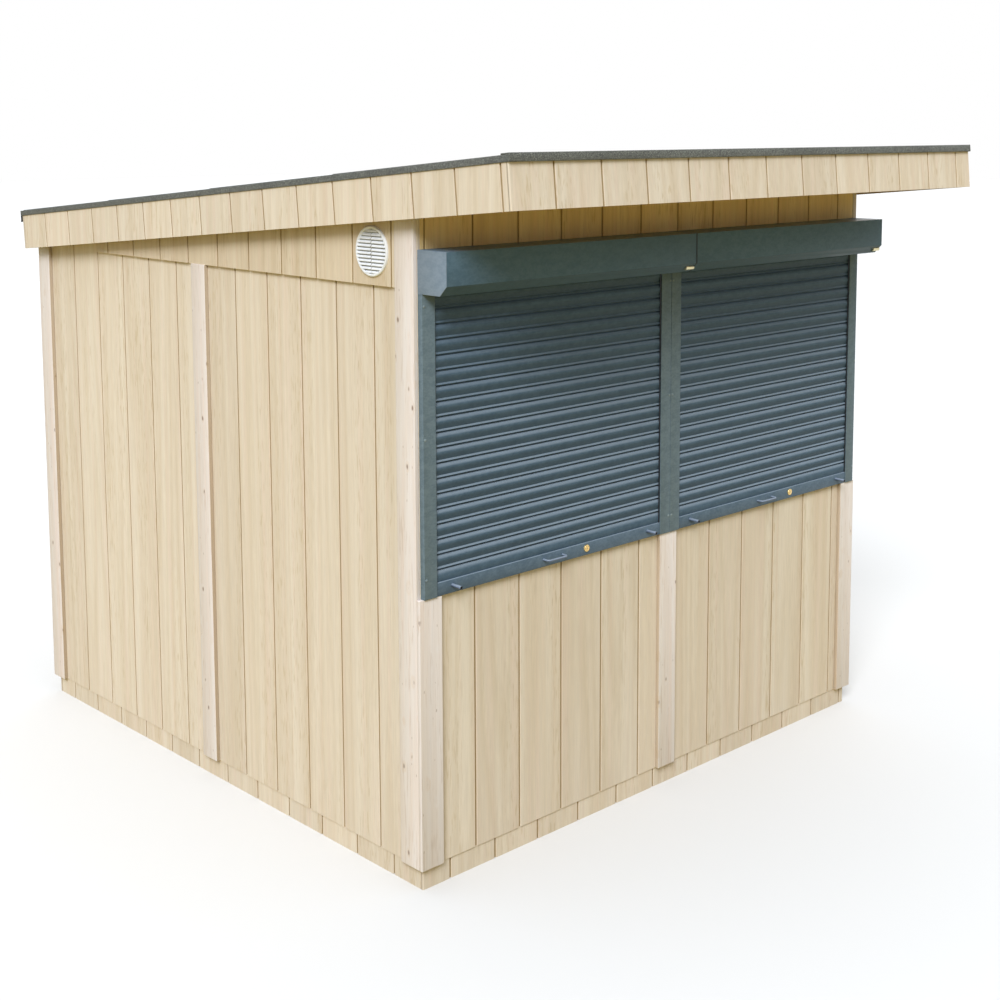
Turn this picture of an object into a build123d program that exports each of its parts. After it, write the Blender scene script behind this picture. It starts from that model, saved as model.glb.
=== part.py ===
"""Wooden market hut with a mono-pitch felt roof and two roller shutters across its front.

Millimetres, +Z up. The front faces -Y and the origin is on the ground, under the middle of the
floor. Boards, grooves, slat links and rivets are finish, so the walls here are plain sheets.
"""

import os
from math import cos, radians, sin, sqrt, tan

from build123d import *

# Driving dimensions of the base
base_width = 2380
base_depth = 2520
base_height = 75
sheet = 12
floor_thickness = 18
bearer_width = 45
bearer_count = 5
overrun = 40

# Driving dimensions of the walls
wall_proud = 4
trim = 16
trim_width = 95
batten_width = 95
post = 70
beam_width = 45
beam_height = 95
gable_back = 774
gable_over_hatch = 14

# Driving dimensions of the roof
roof_pitch = 5.25
roof_over_box = 306
front_overhang = 498
back_overhang = 63
side_overhang = 72
felt = 4
deck = 18
rafter_width = 45
rafter_height = 95
rafter_bays = 4
barge_width = 36
fascia_height = 141
edge_strip = 5
edge_strip_width = 32
drip_height = 26
drip_sheet = 3
drip_kick = 6

# Driving dimensions of the roller shutters
shutter_foot = 990
hatch_height = 990
box_height = 140
box_depth = 140
box_chamfer = 32
box_sheet = 2
box_gap = 2
cap_sheet = 2
rail_width = 53
rail_depth = 22
rail_wall = 4
slot_depth = 40
slat_pitch = 50
slat_bulge = 4
slat_body = 8
bar_height = 46
bar_depth = 14
fitting_rise = 26
stop_diameter = 12
stop_bore = 8
stop_length = 45
stop_inset = 68
handle_width = 100
handle_reach = 26
handle_rod = 8
handle_bend = 12
handle_from_left = 583
lock_diameter = 26
lock_length = 5
lock_from_left = 749
socket_diameter = 16
socket_length = 42
socket_clearance = 2

# Driving dimensions of the vent
vent_diameter = 166
vent_hole = 140
vent_rim = 11
vent_thickness = 9
vent_blades = 9
vent_blade = 7
vent_rib = 7
vent_mesh = 2
vent_from_front = 206
vent_rise_share = 0.44

# Heights of the front, from the shutter's foot up to the roof's front edge
box_foot = shutter_foot + hatch_height
box_top = box_foot + box_height
gable_foot = box_foot + gable_over_hatch
roof_front_height = box_top + roof_over_box

# Planes of the base and walls
base_right = base_width / 2
base_back = base_depth / 2
clad_right = base_right + wall_proud
clad_back = base_back + wall_proud
frame_right = clad_right - sheet
frame_back = clad_back - sheet
trim_right = clad_right + trim
trim_back = clad_back + trim
gable_face = clad_right + sheet

# Planes of the roof, square to its slope
roof_front = -base_back - front_overhang
roof_back = base_back + back_overhang
roof_length = (roof_back - roof_front) / cos(radians(roof_pitch))
roof_right = base_right + side_overhang
fascia_right = roof_right - felt
deck_depth = felt + deck
rafter_depth = deck_depth + rafter_height
fascia_depth = deck_depth + fascia_height
trim_top_depth = rafter_depth
roof_plane = Plane(
    origin=(0, roof_front, roof_front_height),
    x_dir=(1, 0, 0),
    z_dir=(0, sin(radians(roof_pitch)), cos(radians(roof_pitch))),
)

# Planes of the shutters, which hang on the front sheets
front_face = -clad_back
shutter_width = clad_right
rail_face = front_face - rail_depth
slot_back = front_face - rail_wall
slot_face = slot_back - bar_depth
box_face = front_face - box_depth
shutter_lefts = {"left": -clad_right, "right": 0}

os.makedirs("parts", exist_ok=True)


def roof_height(y, depth):
    """Height at y of the plane that lies depth below the roof's top, square to it."""
    down = (y - roof_front) * tan(radians(roof_pitch))
    return roof_front_height - down - depth / cos(radians(roof_pitch))


def save(builder, name):
    """Label one finished piece and write it as its own node."""
    builder.part.label = name
    export_step(builder.part, f"parts/{name}.step")


def block(x, y, z):
    """Add a block that spans from low to high along each axis."""
    spans = (x, y, z)
    centre = tuple((low + high) / 2 for low, high in spans)
    with Locations(centre):
        Box(*[high - low for low, high in spans])


def prism(outline, left, right):
    """Add a piece with this outline in Y and Z that runs from left to right along X."""
    with BuildSketch(Plane.YZ.offset(left)) as end:
        with BuildLine():
            Polyline(*outline, close=True)
        make_face()
    extrude(end.sketch, amount=right - left)


def vent_cut():
    """Cut the vent's round hole through the left wall's sheets."""
    with Locations(Plane.YZ.offset(-clad_right)):
        with Locations((vent_y, vent_height)):
            Cylinder(vent_hole / 2, 2 * overrun, mode=Mode.SUBTRACT)


def under_roof(front, back, foot, depth):
    """Outline in Y and Z of a piece from foot up to the plane depth below the roof's top."""
    return [
        (front, foot),
        (back, foot),
        (back, roof_height(back, depth)),
        (front, roof_height(front, depth)),
    ]


# Base: skirt boards around the floor, with bearers under it
for name, side in {"front_skirt": -1, "back_skirt": 1}.items():
    with BuildPart() as end_skirt:
        faces = sorted((side * base_back, side * (base_back - sheet)))
        block((-base_right, base_right), faces, (0, base_height))
    save(end_skirt, name)

with BuildPart() as side_skirts:
    for side in (-1, 1):
        faces = sorted((side * base_right, side * (base_right - sheet)))
        block(faces, (sheet - base_back, base_back - sheet), (0, base_height))
save(side_skirts, "side_skirts")

bearer_height = base_height - floor_thickness
bearer_reach = base_right - sheet
bearer_spacing = (base_depth - 2 * sheet - bearer_width) / (bearer_count - 1)
with BuildPart() as floor_bearers:
    with BuildSketch():
        with GridLocations(0, bearer_spacing, 1, bearer_count):
            Rectangle(2 * bearer_reach, bearer_width)
    extrude(amount=bearer_height)
save(floor_bearers, "floor_bearers")

with BuildPart() as floor_deck:
    reach_y = base_back - sheet
    block((-bearer_reach, bearer_reach), (-reach_y, reach_y), (bearer_height, base_height))
save(floor_deck, "floor_deck")

# Timber frame: posts, beams under the rafters, and rails below and above the hatches
front_beam_foot = roof_height(beam_width - frame_back, rafter_depth) - beam_height
back_beam_foot = roof_height(frame_back, rafter_depth) - beam_height
with BuildPart() as corner_posts:
    for side in (-1, 1):
        faces = sorted((side * frame_right, side * (frame_right - post)))
        block(faces, (-frame_back, post - frame_back), (base_height, front_beam_foot))
        block(faces, (frame_back - post, frame_back), (base_height, back_beam_foot))
save(corner_posts, "corner_posts")

with BuildPart() as mid_posts:
    middle = (-post / 2, post / 2)
    block(middle, (-frame_back, post - frame_back), (base_height, front_beam_foot))
    block(middle, (frame_back - post, frame_back), (base_height, back_beam_foot))
    for side in (-1, 1):
        faces = sorted((side * frame_right, side * (frame_right - beam_width)))
        prism(under_roof(*middle, base_height, rafter_depth), *faces)
save(mid_posts, "mid_posts")

with BuildPart() as front_beam:
    outline = under_roof(-frame_back, beam_width - frame_back, front_beam_foot, rafter_depth)
    prism(outline, -frame_right, frame_right)
save(front_beam, "front_beam")

with BuildPart() as back_beam:
    outline = under_roof(frame_back - beam_width, frame_back, back_beam_foot, rafter_depth)
    prism(outline, -frame_right, frame_right)
save(back_beam, "back_beam")

with BuildPart() as hatch_rails:
    for side in (-1, 1):
        span = sorted((side * post / 2, side * (frame_right - post)))
        depth = (-frame_back, beam_width - frame_back)
        block(span, depth, (shutter_foot - beam_height, shutter_foot))
        block(span, depth, (box_foot, box_foot + beam_height))
save(hatch_rails, "hatch_rails")

# Wall sheets: the sides run the full depth, the front and back fit between them
vent_y = vent_from_front - base_back
vent_room = roof_height(vent_y, trim_top_depth) - gable_foot
vent_height = gable_foot + vent_rise_share * vent_room
for name, side in {"left_wall": -1, "right_wall": 1}.items():
    with BuildPart() as side_wall:
        faces = sorted((side * clad_right, side * frame_right))
        prism(under_roof(-clad_back, clad_back, base_height, deck_depth), *faces)
        if name == "left_wall":
            vent_cut()
    save(side_wall, name)

for name, side in {"left_gable": -1, "right_gable": 1}.items():
    with BuildPart() as gable:
        faces = sorted((side * gable_face, side * clad_right))
        gable_front = trim_width - clad_back
        prism(under_roof(gable_front, gable_back, gable_foot, trim_top_depth), *faces)
        if name == "left_gable":
            vent_cut()
    save(gable, name)

with BuildPart() as back_wall:
    prism(under_roof(frame_back, clad_back, base_height, rafter_depth), -frame_right, frame_right)
save(back_wall, "back_wall")

with BuildPart() as front_lower_wall:
    block((-frame_right, frame_right), (-clad_back, -frame_back), (base_height, shutter_foot))
save(front_lower_wall, "front_lower_wall")

stile_width = rail_width - sheet
with BuildPart() as front_stiles:
    for low, high in (
        (-frame_right, stile_width - frame_right),
        (-rail_width, rail_width),
        (frame_right - stile_width, frame_right),
    ):
        block((low, high), (-clad_back, -frame_back), (shutter_foot, box_foot))
save(front_stiles, "front_stiles")

with BuildPart() as front_header:
    outline = under_roof(-clad_back, -frame_back, box_foot, rafter_depth)
    prism(outline, -frame_right, frame_right)
save(front_header, "front_header")

# Planed boards on the corners and over the joints between the wall sheets
with BuildPart() as side_corner_boards:
    for side in (-1, 1):
        faces = sorted((side * trim_right, side * clad_right))
        front_span = (-clad_back, trim_width - clad_back)
        back_span = (trim_back - trim_width, trim_back)
        for span in (front_span, back_span):
            prism(under_roof(*span, base_height, trim_top_depth), *faces)
save(side_corner_boards, "side_corner_boards")

with BuildPart() as front_corner_boards:
    for side in (-1, 1):
        span = sorted((side * trim_right, side * (trim_right - trim_width)))
        block(span, (-trim_back, -clad_back), (base_height, shutter_foot))
save(front_corner_boards, "front_corner_boards")

back_trim_outline = under_roof(clad_back, trim_back, base_height, trim_top_depth)
with BuildPart() as back_corner_boards:
    for side in (-1, 1):
        span = sorted((side * clad_right, side * (clad_right - trim_width)))
        prism(back_trim_outline, *span)
save(back_corner_boards, "back_corner_boards")

with BuildPart() as side_battens:
    for side in (-1, 1):
        faces = sorted((side * trim_right, side * clad_right))
        block(faces, (-batten_width / 2, batten_width / 2), (base_height, gable_foot))
save(side_battens, "side_battens")

with BuildPart() as front_batten:
    span = (-batten_width / 2, batten_width / 2)
    block(span, (-trim_back, -clad_back), (base_height, shutter_foot))
save(front_batten, "front_batten")

with BuildPart() as back_batten:
    prism(back_trim_outline, -batten_width / 2, batten_width / 2)
save(back_batten, "back_batten")

# Roof: rafters, blocks between them over the walls, deck, fascia boards and felt
deck_foot = -deck_depth
rafter_foot = -rafter_depth
fascia_foot = -fascia_depth
deck_reach = (felt, roof_length - felt)
inner_reach = (felt + sheet, roof_length - felt - sheet)
wall_rafter = frame_right - rafter_width / 2
rafter_spacing = 2 * wall_rafter / rafter_bays
barge_rafter = fascia_right - sheet - barge_width / 2
with BuildPart(roof_plane) as rafters:
    for bay in range(rafter_bays + 1):
        middle = bay * rafter_spacing - wall_rafter
        span = (middle - rafter_width / 2, middle + rafter_width / 2)
        block(span, inner_reach, (rafter_foot, deck_foot))
    for middle in (-barge_rafter, barge_rafter):
        span = (middle - barge_width / 2, middle + barge_width / 2)
        block(span, inner_reach, (rafter_foot, deck_foot))
save(rafters, "rafters")

with BuildPart() as eaves_blocks:
    for front, back in (
        (-clad_back, beam_width - frame_back),
        (frame_back - beam_width, clad_back),
    ):
        outline = [
            (front, roof_height(front, rafter_depth)),
            (back, roof_height(back, rafter_depth)),
            (back, roof_height(back, deck_depth)),
            (front, roof_height(front, deck_depth)),
        ]
        for bay in range(rafter_bays):
            rafter = bay * rafter_spacing - wall_rafter
            next_rafter = rafter + rafter_spacing
            prism(outline, rafter + rafter_width / 2, next_rafter - rafter_width / 2)
save(eaves_blocks, "eaves_blocks")

with BuildPart(roof_plane) as roof_deck:
    block((-fascia_right, fascia_right), deck_reach, (deck_foot, -felt))
save(roof_deck, "roof_deck")

with BuildPart(roof_plane) as front_fascia:
    block((-fascia_right, fascia_right), (felt, felt + sheet), (fascia_foot, deck_foot))
save(front_fascia, "front_fascia")

with BuildPart(roof_plane) as back_fascia:
    span = (roof_length - felt - sheet, roof_length - felt)
    block((-fascia_right, fascia_right), span, (fascia_foot, deck_foot))
save(back_fascia, "back_fascia")

for name, side in {"left_fascia": -1, "right_fascia": 1}.items():
    with BuildPart(roof_plane) as side_fascia:
        faces = sorted((side * fascia_right, side * (fascia_right - sheet)))
        block(faces, inner_reach, (fascia_foot, deck_foot))
    save(side_fascia, name)

with BuildPart(roof_plane) as roof_felt:
    block((-roof_right, roof_right), (0, roof_length), (deck_foot, 0))
    with Locations((0, roof_length / 2, (deck_foot - felt) / 2)):
        Box(2 * fascia_right, roof_length - 2 * felt, deck, mode=Mode.SUBTRACT)
save(roof_felt, "roof_felt")

with BuildPart(roof_plane) as front_edge_strip:
    block((-roof_right, roof_right), (-edge_strip, edge_strip_width), (0, edge_strip))
    block((-roof_right, roof_right), (-edge_strip, 0), (deck_foot, 0))
save(front_edge_strip, "front_edge_strip")

with BuildPart(roof_plane) as back_drip_edge:
    with BuildSketch(Plane(roof_plane.origin, x_dir=roof_plane.y_dir, z_dir=roof_plane.x_dir)):
        with BuildLine():
            foot = deck_foot - drip_height + drip_kick
            edge = roof_length
            Polyline(
                (edge, 0),
                (edge + drip_sheet, 0),
                (edge + drip_sheet, foot),
                (edge + drip_sheet + drip_kick, foot - drip_kick),
                (edge + drip_kick, foot - drip_kick),
                (edge, foot),
                close=True,
            )
        make_face()
    extrude(amount=roof_right, both=True)
save(back_drip_edge, "back_drip_edge")

# Roller shutters: box with end caps, guide rails, slatted curtain and bottom bar
box_outline = [
    (front_face, box_foot),
    (front_face, box_top),
    (box_face, box_top),
    (box_face, box_foot + box_chamfer),
    (box_face + box_chamfer, box_foot),
]
chamfer_middle = (box_face + box_chamfer / 2, box_foot + box_chamfer / 2)
with BuildPart() as box_end_caps:
    for left in shutter_lefts.values():
        for near in (left + box_gap / 2, left + shutter_width - box_gap / 2 - cap_sheet):
            prism(box_outline, near, near + cap_sheet)
save(box_end_caps, "box_end_caps")

with BuildPart() as guide_rails:
    for left in shutter_lefts.values():
        for near, opens in ((left + box_gap / 2, 1), (left + shutter_width - box_gap / 2, -1)):
            edge = near + opens * rail_width
            block(sorted((near, edge)), (rail_face, front_face), (shutter_foot, box_foot))
            slot_x = edge - opens * slot_depth / 2
            slot_y = (slot_face + slot_back) / 2
            with Locations((slot_x, slot_y, (shutter_foot + box_foot) / 2)):
                Box(slot_depth, bar_depth, hatch_height + overrun, mode=Mode.SUBTRACT)
save(guide_rails, "guide_rails")

curtain_foot = shutter_foot + bar_height
slat_count = round((box_foot - curtain_foot) / slat_pitch)
slat_height = (box_foot - curtain_foot) / slat_count
slat_face = slot_back - slat_body
curtain_inset = box_gap / 2 + rail_width - slot_depth + rail_wall
bar_inset = box_gap + rail_width
for name, left in shutter_lefts.items():
    with BuildPart() as shutter_box:
        cap_reach = box_gap / 2 + cap_sheet
        box_span = (left + cap_reach, left + shutter_width - cap_reach)
        with BuildSketch(Plane.YZ.offset(box_span[0])):
            with BuildLine():
                Polyline(*box_outline, close=True)
            make_face()
            offset(amount=-box_sheet, mode=Mode.SUBTRACT)
        extrude(amount=box_span[1] - box_span[0])
        notch_length = socket_length + socket_clearance
        with BuildSketch(Plane.YZ.offset(box_span[1] - notch_length)):
            with Locations(chamfer_middle):
                Circle(socket_diameter / 2 + socket_clearance)
        extrude(amount=notch_length, mode=Mode.SUBTRACT)
    save(shutter_box, f"{name}_shutter_box")

    curtain_span = (left + curtain_inset, left + shutter_width - curtain_inset)
    with BuildPart() as curtain:
        with BuildSketch(Plane.YZ.offset(curtain_span[0])):
            with BuildLine():
                Polyline(
                    (slat_face, curtain_foot),
                    (slot_back, curtain_foot),
                    (slot_back, box_foot),
                    (slat_face, box_foot),
                )
                for slat in range(slat_count):
                    foot = curtain_foot + slat * slat_height
                    ThreePointArc(
                        (slat_face, foot),
                        (slat_face - slat_bulge, foot + slat_height / 2),
                        (slat_face, foot + slat_height),
                    )
            make_face()
        extrude(amount=curtain_span[1] - curtain_span[0])
    save(curtain, f"{name}_curtain")

    clear_span = (left + bar_inset, left + shutter_width - bar_inset)
    with BuildPart() as bottom_bar:
        block(curtain_span, (slot_face, slot_back), (shutter_foot, curtain_foot))
        block(clear_span, (slot_back, front_face), (shutter_foot, curtain_foot))
    save(bottom_bar, f"{name}_bottom_bar")

# Fittings on the shutters
fitting_height = shutter_foot + fitting_rise
with BuildPart() as shutter_stops:
    for left in shutter_lefts.values():
        for x in (left + rail_width + stop_inset, left + shutter_width - rail_width - stop_inset):
            with BuildSketch(Plane((x, slot_face, fitting_height), z_dir=(0, -1, 0))):
                Circle(stop_diameter / 2)
                Circle(stop_bore / 2, mode=Mode.SUBTRACT)
            extrude(amount=stop_length)
save(shutter_stops, "shutter_stops")

with BuildPart() as shutter_handles:
    for left in shutter_lefts.values():
        middle = left + handle_from_left
        half = (handle_width - handle_rod) / 2
        with BuildLine(Plane.XY.offset(fitting_height)) as bow:
            FilletPolyline(
                (middle - half, slot_face),
                (middle - half, slot_face - handle_reach),
                (middle + half, slot_face - handle_reach),
                (middle + half, slot_face),
                radius=handle_bend,
            )
        with BuildSketch(Plane((middle - half, slot_face, fitting_height), z_dir=(0, -1, 0))):
            Circle(handle_rod / 2)
        sweep(path=bow.wires()[0])
save(shutter_handles, "shutter_handles")

with BuildPart() as shutter_locks:
    for left in shutter_lefts.values():
        seat = (left + lock_from_left, slot_face, fitting_height)
        with BuildSketch(Plane(seat, z_dir=(0, -1, 0))):
            Circle(lock_diameter / 2)
        extrude(amount=lock_length)
save(shutter_locks, "shutter_locks")

with BuildPart() as crank_sockets:
    for left in shutter_lefts.values():
        cap_face = left + shutter_width - box_gap / 2 - cap_sheet
        with BuildSketch(Plane.YZ.offset(cap_face - socket_length)):
            with Locations(chamfer_middle):
                Circle(socket_diameter / 2)
        extrude(amount=socket_length)
save(crank_sockets, "crank_sockets")

# Round louvred vent on the left gable sheet
vent_plane = Plane((-gable_face, vent_y, vent_height), x_dir=(0, -1, 0), z_dir=(-1, 0, 0))
vent_inner = vent_diameter / 2 - vent_rim
blade_spacing = 2 * vent_inner / (vent_blades + 1)
slot_height = blade_spacing - vent_blade
with BuildPart() as vent_grille:
    with BuildSketch(vent_plane):
        Circle(vent_diameter / 2)
        for slot in range(vent_blades + 1):
            y = slot * blade_spacing + blade_spacing / 2 - vent_inner
            half_chord = sqrt(vent_inner**2 - (abs(y) + slot_height / 2) ** 2)
            with Locations((0, y)):
                Rectangle(2 * half_chord, slot_height, mode=Mode.SUBTRACT)
        Rectangle(vent_rib, 2 * vent_inner)
    extrude(amount=vent_thickness)
    with BuildSketch(vent_plane):
        Circle(vent_diameter / 2)
    extrude(amount=vent_mesh)
save(vent_grille, "vent_grille")
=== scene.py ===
# %% [markdown]
# # A wooden market hut
# The hut is a small sales booth: boarded walls on a low skirt, a flat sloping roof of felt, and two
# grey roller shutters across its front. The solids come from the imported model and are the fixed
# frame. This lesson dresses them: it cuts the walls into boards, links the slats, rounds the edges
# and gives every piece its finish. All sizes are in metres.

# %% Load the frame
import math

import bmesh
import bpy
from mathutils import Matrix, Vector
from mathutils.geometry import interpolate_bezier


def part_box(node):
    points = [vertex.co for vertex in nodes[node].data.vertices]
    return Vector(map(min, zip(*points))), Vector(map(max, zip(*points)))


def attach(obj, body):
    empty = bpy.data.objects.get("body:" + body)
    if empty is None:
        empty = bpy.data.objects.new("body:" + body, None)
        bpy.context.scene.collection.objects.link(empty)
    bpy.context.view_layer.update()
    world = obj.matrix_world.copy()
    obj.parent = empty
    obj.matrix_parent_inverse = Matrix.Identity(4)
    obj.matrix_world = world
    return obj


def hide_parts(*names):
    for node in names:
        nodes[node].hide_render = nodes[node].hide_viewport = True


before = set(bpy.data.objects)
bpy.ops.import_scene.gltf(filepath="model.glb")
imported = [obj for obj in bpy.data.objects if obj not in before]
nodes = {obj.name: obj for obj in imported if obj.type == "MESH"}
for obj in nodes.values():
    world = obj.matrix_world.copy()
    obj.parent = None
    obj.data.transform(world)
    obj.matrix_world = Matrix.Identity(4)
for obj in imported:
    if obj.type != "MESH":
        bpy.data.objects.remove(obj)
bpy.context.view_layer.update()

# %% [markdown]
# Every finish and every repeated shape below is a tree of nodes. Adding nodes one by one is slow to
# read, so a small class wraps a socket: arithmetic on it adds Math nodes, and one method adds any
# other node. The same class serves materials and Geometry Nodes.


# %% A socket that does sums
class Wire:
    """A socket of a node tree, on which Python's operators add Math nodes."""

    def __init__(self, tree, socket=None):
        self.tree = tree
        self.socket = socket

    def join(self, value, inlet):
        """Link a wire to an inlet, or set the inlet's own value."""
        if isinstance(value, Wire):
            self.tree.links.new(value.socket, inlet)
        else:
            inlet.default_value = value

    def node(self, kind, settings=None, sockets=None, out=0):
        """Add a node: its settings first, then the values or links of its sockets."""
        made = self.tree.nodes.new(kind)
        for name, value in (settings or {}).items():
            if name == "stops":
                ramp = made.color_ramp.elements
                while len(ramp) < len(value):
                    ramp.new(1.0)
                for stop, (place, tone) in zip(ramp, value):
                    stop.position = place
                    stop.color = tone
            else:
                setattr(made, name, value)
        for key, value in (sockets or {}).items():
            for each in value if isinstance(value, list) else [value]:
                self.join(each, made.inputs[key])
        return Wire(self.tree, made.outputs[out])

    def math(self, operation, *values):
        """Add a Math node that takes this wire first."""
        return self.node("ShaderNodeMath", {"operation": operation}, dict(enumerate((self, *values))))

    def __add__(self, other):
        return self.math("ADD", other)

    __radd__ = __add__

    def __sub__(self, other):
        return self.math("SUBTRACT", other)

    def __rsub__(self, other):
        return self.node("ShaderNodeMath", {"operation": "SUBTRACT"}, {0: other, 1: self})

    def __mul__(self, other):
        return self.math("MULTIPLY", other)

    __rmul__ = __mul__

    def __truediv__(self, other):
        return self.math("DIVIDE", other)

    def __gt__(self, other):
        return self.math("GREATER_THAN", other)

    def __lt__(self, other):
        return self.math("LESS_THAN", other)


print("sums on sockets are ready")

# %% [markdown]
# Colours are written as a paint chart gives them, from 0 to 255, and turned into the linear values
# that Blender's shaders work with. Most finishes here are a base colour with others laid over it, each
# by its own share.


# %% Colours and how they mix
def colour(red, green, blue):
    """A display colour from 0 to 255 as the linear colour that a shader takes."""
    linear = []
    for value in (red, green, blue):
        share = value / 255
        linear.append(share / 12.92 if share <= 0.04045 else ((share + 0.055) / 1.055) ** 2.4)
    return (*linear, 1.0)


def mix(tree, share, first, second, blend="MIX"):
    """Mix two colours, each a constant or a wire."""
    settings = {"data_type": "RGBA", "blend_type": blend}
    return tree.node("ShaderNodeMix", settings, {0: share, 6: first, 7: second}, out=2)


def layered(tree, base, *layers):
    """Lay colours over a base, one after another, each given as its share and its tone."""
    for share, tone in layers:
        base = mix(tree, share, base, tone)
    return base


def shaded(tree, base, shade):
    """Make a colour lighter or darker by a factor near 1."""
    grey = tree.node("ShaderNodeCombineXYZ", {}, {0: shade, 1: shade, 2: shade})
    return mix(tree, 1.0, base, grey, "MULTIPLY")


print("half-way grey, linear:", [round(v, 3) for v in colour(128, 128, 128)])

# %% [markdown]
# A finish reads where a point lies on its object, and numbers that the mesh carries, such as a board's
# own number. Noise at that place gives a pattern, and a smooth step picks out the part of it that
# shows. The pattern then feeds the colour, the roughness and a bump.


# %% Patterns and surfaces
def object_place(tree):
    """Where a point lies on its object, in metres."""
    return tree.node("ShaderNodeTexCoord", {}, {}, out="Object")


def carried(tree, name):
    """The number that the mesh carries under this name."""
    return tree.node("ShaderNodeAttribute", {"attribute_name": name}, {}, out="Fac")


def split(tree, vector):
    """The X, Y and Z of a vector, as three wires."""
    made = tree.node("ShaderNodeSeparateXYZ", {}, {0: vector}).socket.node
    return [Wire(tree.tree, outlet) for outlet in made.outputs]


def noise(tree, place, scale, detail=2.0, rough=0.5):
    """Soft noise from 0 to 1, with about this many waves in a metre along each axis."""
    mapped = tree.node("ShaderNodeMapping", {}, {"Vector": place, "Scale": scale})
    sockets = {"Vector": mapped, "Scale": 1.0, "Detail": detail, "Roughness": rough}
    return tree.node("ShaderNodeTexNoise", {}, sockets)


def ease(tree, value, low, high, start=0.0, end=1.0):
    """Turn a value's range from low to high into a smooth step from start to end."""
    settings = {"interpolation_type": "SMOOTHSTEP"}
    sockets = {"Value": value, 1: low, 2: high, 3: start, 4: end}
    return tree.node("ShaderNodeMapRange", settings, sockets)


def new_finish(name, **constants):
    """Start a material: returns it, a wire on its tree and its surface shader."""
    finish = bpy.data.materials.new(name)
    finish.use_nodes = True
    shader = finish.node_tree.nodes["Principled BSDF"]
    for socket, value in constants.items():
        shader.inputs[socket.replace("_", " ")].default_value = value
    return finish, Wire(finish.node_tree), shader


def surface(shader, tree, base, roughness, height, deep, strength):
    """Link what changes over the surface: colour, roughness and a bump of this depth in metres."""
    sockets = {"Height": height, "Distance": deep, "Strength": strength}
    bump = tree.node("ShaderNodeBump", {}, sockets)
    for inlet, value in (("Base Color", base), ("Roughness", roughness), ("Normal", bump)):
        tree.join(value, shader.inputs[inlet])


print("patterns and surfaces are ready")

# %% [markdown]
# The walls are pale softwood boards. A picture of wood would repeat, so the wood is built here as it
# grows: broad soft bands, flame-shaped growth rings, short flecks and fine fibres, all drawn out along
# the board. The rings are the contour lines of a stretched noise, which close into the long loops of a
# sawn board. Each board carries a number of its own, so the pattern jumps at every joint. The sides and
# the ground of the grooves are marked on the mesh and turn brown, partly as sawn wood and partly as
# painted shade in the grooves. The gables are painted slightly deeper in tone than the walls, as painted
# shade under the eaves, and the header, which the roof shelters from the sun, is painted more golden
# and brighter, as painted warm light in the roof's shade.

# %% Wood
GRAIN_AXES = {
    "x": lambda along, across: (along, across, across),
    "y": lambda along, across: (across, along, across),
    "z": lambda along, across: (across, across, along),
}
BOARD_JUMP = (17.0, 11.0, 29.0)
RING_TURNS = 62.0
FRAME_RINGS = 0.5
# Brown for the grooves and marked flanks, partly sawn wood and partly painted shade.
GROOVE_SHADE_TONE = colour(172, 146, 94)
BOARD_TONES = {
    "cladding": ((229, 219, 204), (221, 208, 190), (197, 178, 145), (226, 209, 194)),
    # The gables' tones are darker, as painted shade under the eaves.
    "gable_cladding_painted_shade": ((221, 208, 187), (213, 197, 174), (188, 167, 130), (218, 198, 178)),
    # The header's tones are brighter and more golden, as painted warm light in the roof's shade.
    "header_cladding_painted_light": ((246, 222, 168), (240, 212, 154), (204, 172, 104), (242, 210, 160)),
}
FRAME_TONES = ((224, 196, 146), (209, 176, 120), (172, 134, 82), (226, 209, 194))


def board_place(tree):
    """Where a point lies, moved by a different distance on every board, and the board's number."""
    number = carried(tree, "board")
    jump = {axis: number * step for axis, step in enumerate(BOARD_JUMP)}
    sockets = {0: object_place(tree), 1: tree.node("ShaderNodeCombineXYZ", {}, jump)}
    return tree.node("ShaderNodeVectorMath", {"operation": "ADD"}, sockets), number


def wood_finish(name, tones, axis="z", ring_share=0.2):
    """Sawn board in tones for pale wood, middle wood, rings and blush, with grain along one axis."""
    finish, tree, shader = new_finish(name, Specular_IOR_Level=0.25)
    pale, middle, ring_tone, blush = [colour(*tone) for tone in tones]
    stretch = GRAIN_AXES[axis]
    place, number = board_place(tree)
    band = noise(tree, place, stretch(0.3, 17.0), 3.0, 0.6)
    streak = noise(tree, place, stretch(0.4, 34.0))
    flame = noise(tree, place, stretch(0.2, 5.5), 1.0, 0.4)
    fibre = noise(tree, place, stretch(5.0, 240.0), 3.0, 0.65)
    grain = noise(tree, place, stretch(11.0, 125.0), 3.0, 0.6)
    fleck = ease(tree, noise(tree, place, stretch(15.0, 150.0)), 0.54, 0.66)
    fleck_zone = ease(tree, noise(tree, place, stretch(0.5, 9.0), 1.0), 0.42, 0.62)
    ring = ((flame * RING_TURNS + grain * 2.0).math("SINE") * 0.5 + 0.5).math("POWER", 2.0)
    base = layered(
        tree,
        mix(tree, ease(tree, band, 0.32, 0.68), pale, middle),
        (ease(tree, streak, 0.48, 0.7) * 0.55, blush),
        (ring * ring_share + fleck * fleck_zone * 0.45, ring_tone),
        # Grooves and marked flanks turn brown, partly as painted shade.
        (carried(tree, "groove") * 0.9, GROOVE_SHADE_TONE),
    )
    shade = (grain - 0.5) * 0.2 + (fibre - 0.5) * 0.16 + (number - 0.5) * 0.08 + 1.0
    height = fibre * 0.8 + ring * 0.3
    base = shaded(tree, base, shade)
    surface(shader, tree, base, fibre * 0.16 + 0.56, height, deep=0.0005, strength=0.4)
    return finish


board_wood = {name: wood_finish(name, tones) for name, tones in BOARD_TONES.items()}
frame_pine = {
    axis: wood_finish(f"frame_pine_{axis}", FRAME_TONES, axis, FRAME_RINGS) for axis in GRAIN_AXES
}
print("wood finishes:", *board_wood, *[finish.name for finish in frame_pine.values()])
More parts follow.
